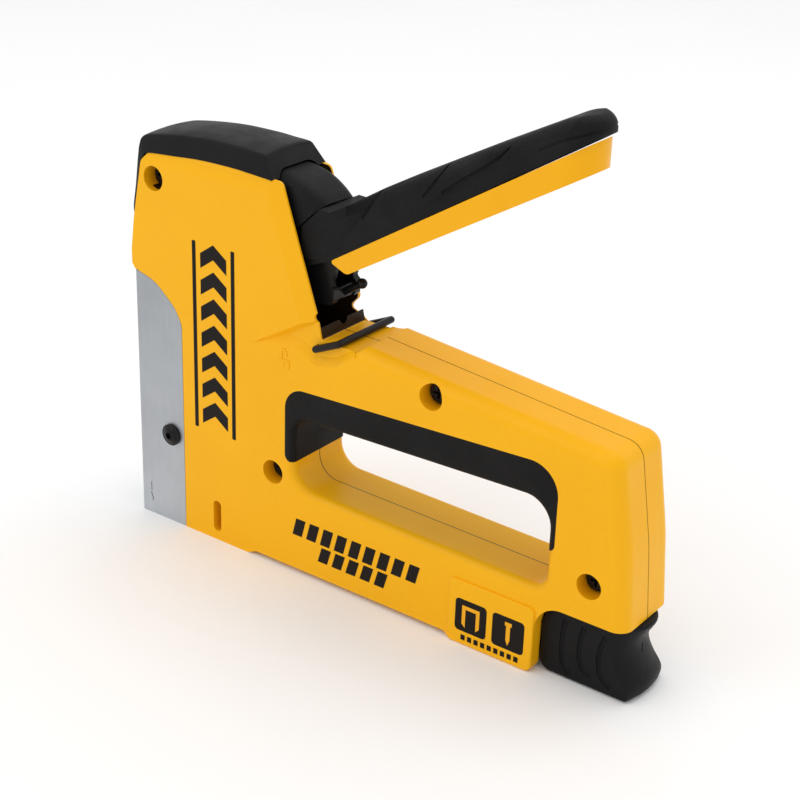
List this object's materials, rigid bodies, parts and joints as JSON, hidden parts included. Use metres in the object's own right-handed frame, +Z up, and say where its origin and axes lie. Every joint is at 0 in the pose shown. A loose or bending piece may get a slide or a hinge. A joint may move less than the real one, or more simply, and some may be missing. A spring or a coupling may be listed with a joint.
{
  "type": "staple gun",
  "caption": "Heavy-duty hand staple gun: die-cast body with hand opening, squeeze lever, wire lever lock, steel nose and pull-out magazine slide.",
  "frame": {"origin": "middle of the staple exit, on the sole plane that is pressed against the work", "axes": "+X from the nose towards the rear knob, +Y to the right side, +Z up; staples leave along -Z"},
  "size_m": [0.202, 0.0324, 0.1754],
  "materials": {
    "yellow_paint": "satin",
    "black_plastic": "matte",
    "black_rubber": "matte",
    "bright_steel": "satin",
    "black_steel": "satin",
    "spring_steel": "satin",
    "black_wire": "gloss"
  },
  "bodies": {
    "housing": {"left_housing": "yellow_paint", "right_housing": "yellow_paint", "top_cap": "black_plastic", "nose_cover": "bright_steel", "nose_cover_screws": "black_steel", "housing_screws": "black_steel", "loop_grip": "black_rubber", "magazine_channel": "bright_steel", "drive_guide": "bright_steel", "lever_pivot_pin": "bright_steel", "mainspring": "spring_steel", "spring_seat": "bright_steel", "striker_bumper": "black_rubber"},
    "striker": {"driver_blade": "spring_steel", "plunger": "bright_steel", "blade_rivet": "bright_steel"},
    "lever": {"lever_core": "black_steel", "lever_shell": "yellow_paint", "lever_grip": "black_rubber", "hub_cover": "black_plastic", "lock_peg": "black_steel", "lever_bumper": "black_rubber", "lever_rivets": "bright_steel", "lift_roller": "bright_steel", "roller_pin": "bright_steel", "lever_return_spring": "spring_steel"},
    "bail": {"lock_bail": "black_wire"},
    "magazine_slide": {"magazine_knob": "black_plastic", "inner_rail": "bright_steel", "guide_rod": "bright_steel", "rod_clip": "black_steel", "knob_pin": "bright_steel", "pusher_spring": "spring_steel"},
    "pusher": {"pusher": "bright_steel"}
  },
  "joints": [
    {"name": "lever_squeeze", "type": "hinge", "parent": "housing", "child": "lever", "pos_m": [0.0558, 0, 0.112], "axis": [0, 1, 0], "range_deg": [0, 34], "stiffness_Nm_per_rad": 3, "springref_deg": -20.05},
    {"name": "striker_lift", "type": "slide", "parent": "housing", "child": "striker", "axis": [0, 0, 1], "range_m": [0, 0.02048], "stiffness_N_per_m": 400, "springref_m": -0.02, "deforming": ["mainspring"]},
    {"name": "bail_swing", "type": "hinge", "parent": "housing", "child": "bail", "pos_m": [0.0766, 0, 0.0845], "axis": [0, -1, 0], "range_deg": [0, 67]},
    {"name": "magazine_pull", "type": "slide", "parent": "housing", "child": "magazine_slide", "axis": [1, 0, 0], "range_m": [0, 0.11]},
    {"name": "pusher_feed", "type": "slide", "parent": "magazine_slide", "child": "pusher", "axis": [1, 0, 0], "range_m": [0, 0.085], "stiffness_N_per_m": 60, "springref_m": -0.03, "deforming": ["pusher_spring"]}
  ],
  "couplings": [
    {"joint": "striker_lift", "follows": "lever_squeeze", "m_per_rad": 0.033503}
  ]
}
